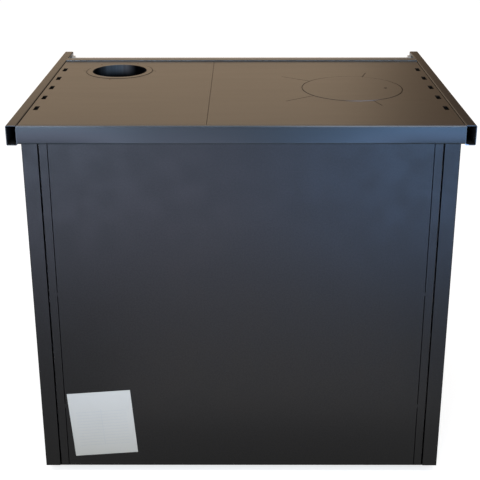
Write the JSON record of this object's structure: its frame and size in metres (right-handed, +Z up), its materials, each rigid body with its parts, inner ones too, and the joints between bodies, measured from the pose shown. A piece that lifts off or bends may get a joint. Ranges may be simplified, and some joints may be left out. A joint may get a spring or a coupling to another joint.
{
  "type": "wood cookstove",
  "caption": "Wood-burning cookstove: steel hob with a lift-out disc and flue socket over a firebox and an oven, with hinged doors, ash and wood drawers and a tubular handrail.",
  "frame": {"origin": "on the floor under the middle of the stove's bounding box", "axes": "+Z up, the front with the doors faces -Y, +X to the right of someone facing the front"},
  "size_m": [0.858, 0.636, 0.754],
  "materials": {
    "casing_paint": "satin",
    "hob_paint": "satin",
    "front_enamel": "gloss",
    "bright_steel": "brushed",
    "sheet_steel": "mill finish",
    "grate_iron": "rough cast",
    "firebrick": "rough",
    "oven_enamel": "gloss",
    "stove_glass": "clear",
    "dial_glass": "clear",
    "needle_paint": "matte",
    "rope_seal": "woven",
    "knob_plastic": "matte",
    "label_paper": "matte"
  },
  "bodies": {
    "stove": {"rear_rail": "casing_paint", "side_rail_left": "casing_paint", "side_rail_right": "casing_paint", "rail_end_caps": "casing_paint", "front_rim": "casing_paint", "side_panel_left": "casing_paint", "side_panel_right": "casing_paint", "rear_posts": "casing_paint", "back_panel": "casing_paint", "fascia": "casing_paint", "base_plate": "casing_paint", "feet": "casing_paint", "cooking_plate": "hob_paint", "flue_plate": "hob_paint", "flue_collar": "hob_paint", "handrail": "bright_steel", "handrail_ferrules": "bright_steel", "hinge_pins": "bright_steel", "door_hinges": "bright_steel", "oven_rack": "bright_steel", "carcass_front": "sheet_steel", "carcass_walls": "sheet_steel", "carcass_rear": "sheet_steel", "carcass_deck": "sheet_steel", "fire_wall": "sheet_steel", "drawer_runners": "sheet_steel", "panel_clips": "sheet_steel", "grate_frame": "grate_iron", "grate": "grate_iron", "smoke_baffles": "grate_iron", "firebricks_side": "firebrick", "firebrick_rear": "firebrick", "oven_box": "oven_enamel", "baking_tray": "oven_enamel", "rating_label": "label_paper"},
    "fire_door": {"fire_door": "front_enamel", "fire_door_gasket": "rope_seal", "fire_door_glass": "stove_glass", "fire_door_clips": "sheet_steel"},
    "fire_door_lever": {"fire_door_handle": "bright_steel"},
    "oven_door": {"oven_door": "front_enamel", "oven_door_gasket": "rope_seal", "oven_door_glass": "stove_glass", "oven_door_clips": "sheet_steel", "oven_door_handle": "bright_steel", "thermometer_case": "bright_steel", "thermometer_lens": "dial_glass"},
    "thermometer_needle": {"thermometer_needle": "needle_paint"},
    "ash_drawer": {"ash_pan": "sheet_steel", "ash_drawer_front": "front_enamel", "ash_drawer_handle": "bright_steel"},
    "air_valve": {"air_valve": "bright_steel"},
    "wood_drawer": {"wood_drawer": "sheet_steel", "wood_drawer_front": "front_enamel", "wood_drawer_handle": "bright_steel"},
    "soot_hatch": {"soot_hatch": "front_enamel"},
    "damper": {"damper_flap": "grate_iron", "damper_rod": "bright_steel", "damper_knob": "knob_plastic"},
    "cooking_disc": {"cooking_disc": "hob_paint"}
  },
  "joints": [
    {"name": "fire_door_hinge", "type": "hinge", "parent": "stove", "child": "fire_door", "pos_m": [-0.3868, -0.249, 0.5405], "axis": [0, 0, -1], "range_deg": [0, 110]},
    {"name": "fire_latch", "type": "hinge", "parent": "fire_door", "child": "fire_door_lever", "pos_m": [-0.1318, -0.258, 0.634], "axis": [0, -1, 0], "range_deg": [0, 90]},
    {"name": "oven_door_hinge", "type": "hinge", "parent": "stove", "child": "oven_door", "pos_m": [0.3868, -0.249, 0.483], "axis": [0, 0, 1], "range_deg": [0, 110]},
    {"name": "thermometer_turn", "type": "hinge", "parent": "oven_door", "child": "thermometer_needle", "pos_m": [0.14675, -0.2639, 0.626], "axis": [0, 1, 0], "range_deg": [0, 270]},
    {"name": "ash_drawer_slide", "type": "slide", "parent": "stove", "child": "ash_drawer", "axis": [0, -1, 0], "range_m": [0, 0.33]},
    {"name": "air_valve_turn", "type": "hinge", "parent": "ash_drawer", "child": "air_valve", "pos_m": [-0.2323, -0.2448, 0.335], "axis": [0, 1, 0], "range_deg": [0, 60]},
    {"name": "wood_drawer_slide", "type": "slide", "parent": "stove", "child": "wood_drawer", "axis": [0, -1, 0], "range_m": [0, 0.4]},
    {"name": "soot_hatch_pull", "type": "slide", "parent": "stove", "child": "soot_hatch", "axis": [0, -1, 0], "range_m": [0, 0.08]},
    {"name": "damper_turn", "type": "hinge", "parent": "stove", "child": "damper", "pos_m": [0.19, -0.14, 0.697], "axis": [0, -1, 0], "range_deg": [0, 90]},
    {"name": "cooking_disc_lift", "type": "slide", "parent": "stove", "child": "cooking_disc", "axis": [0, 0, 1], "range_m": [0, 0.12]}
  ]
}
